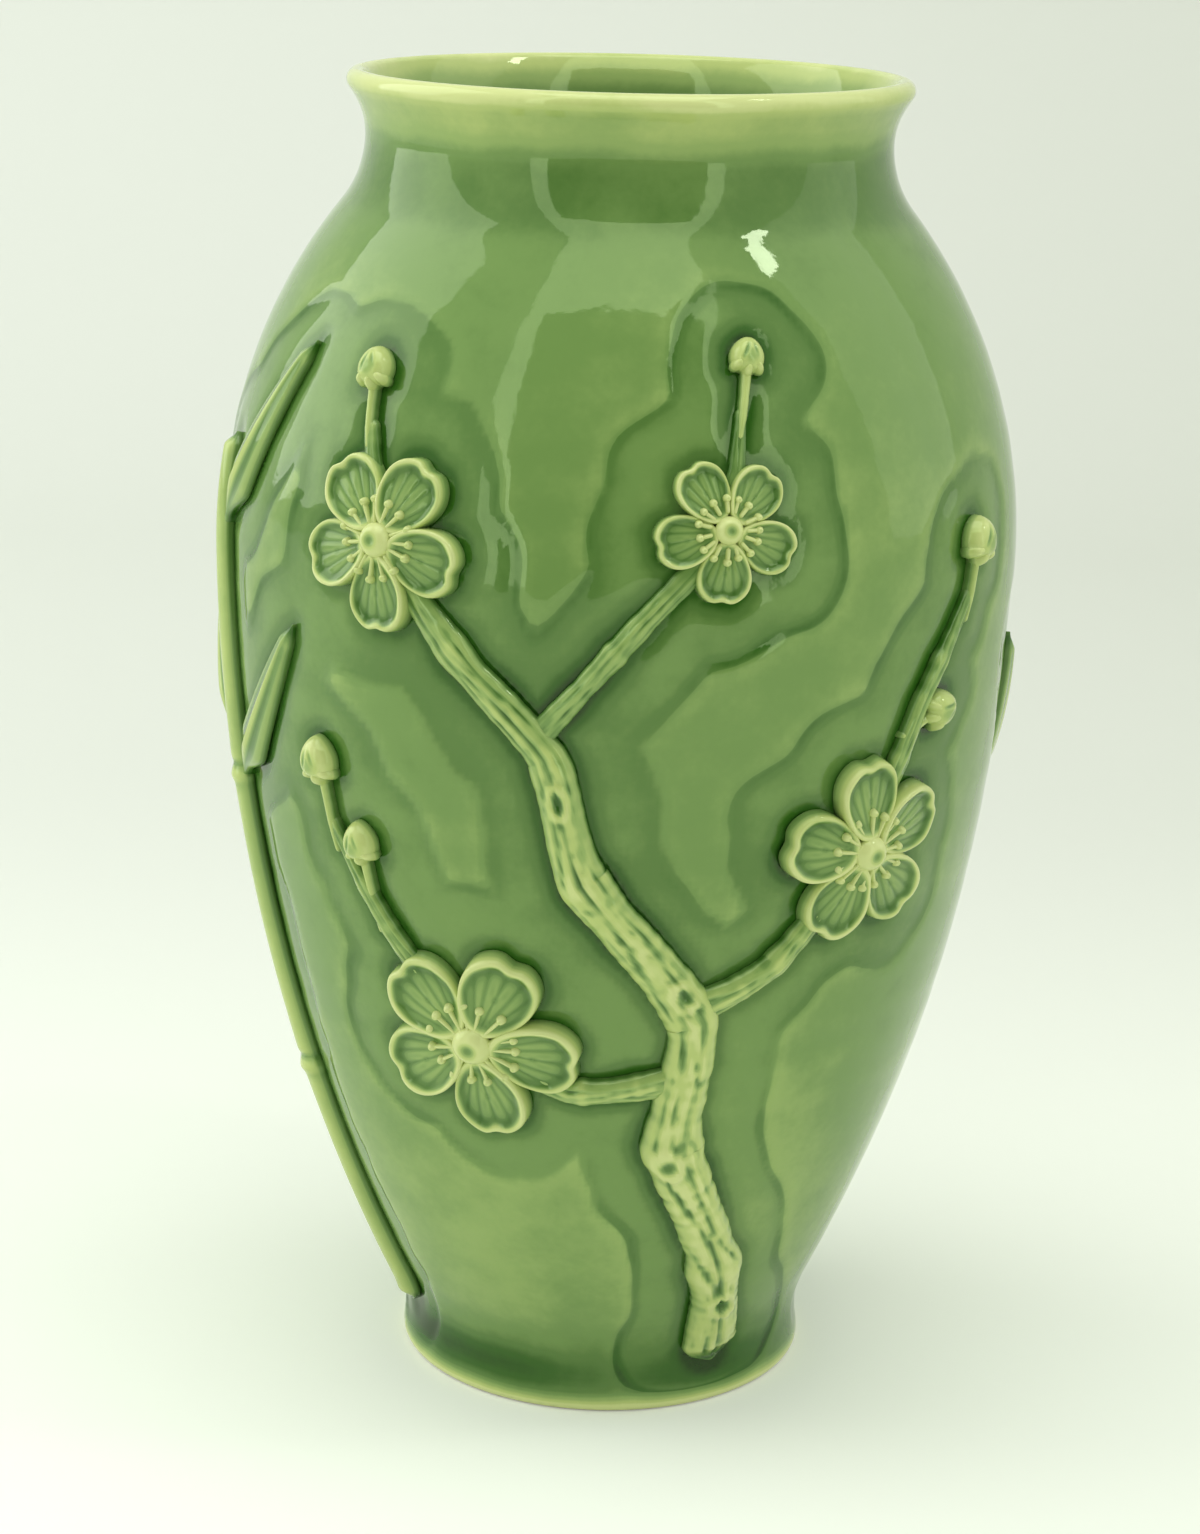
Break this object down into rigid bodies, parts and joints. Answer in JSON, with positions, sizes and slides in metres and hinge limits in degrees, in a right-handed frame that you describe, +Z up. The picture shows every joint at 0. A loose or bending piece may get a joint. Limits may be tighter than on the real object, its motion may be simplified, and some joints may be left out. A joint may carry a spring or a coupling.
{
  "type": "relief-decorated vase",
  "caption": "Wide-mouthed baluster vase in green celadon glaze, with a plum branch and bamboo in low relief round its wall.",
  "frame": {"origin": "centre of the foot ring's resting plane, on the vase's axis", "axes": "+Z up along the vase's axis, -Y towards the pictured front, +X to the right as seen from the front"},
  "size_m": [0.1826, 0.182, 0.3],
  "materials": {
    "pot_glaze": "glossy translucent celadon glaze",
    "branch_glaze": "glossy celadon glaze, darker where it pools",
    "blossom_glaze": "glossy celadon glaze, thin and pale on the raised edges",
    "bamboo_glaze": "glossy celadon glaze"
  },
  "bodies": {
    "root": {"vase_body": "pot_glaze", "plum_trunk": "branch_glaze", "plum_twig_low": "branch_glaze", "plum_twig_right": "branch_glaze", "plum_twig_top": "branch_glaze", "blossom_1_petals": "blossom_glaze", "blossom_2_petals": "blossom_glaze", "blossom_3_petals": "blossom_glaze", "blossom_4_petals": "blossom_glaze", "blossom_1_centre": "blossom_glaze", "blossom_2_centre": "blossom_glaze", "blossom_3_centre": "blossom_glaze", "blossom_4_centre": "blossom_glaze", "buds_low_twig": "blossom_glaze", "buds_right_twig": "blossom_glaze", "buds_top": "blossom_glaze", "bamboo_culm_left": "bamboo_glaze", "bamboo_culm_right": "bamboo_glaze", "bamboo_leaf_left_1": "bamboo_glaze", "bamboo_leaf_left_2": "bamboo_glaze", "bamboo_leaf_left_3": "bamboo_glaze", "bamboo_leaf_right_1": "bamboo_glaze", "bamboo_leaf_right_2": "bamboo_glaze", "bamboo_leaf_right_3": "bamboo_glaze"}
  },
  "joints": []
}
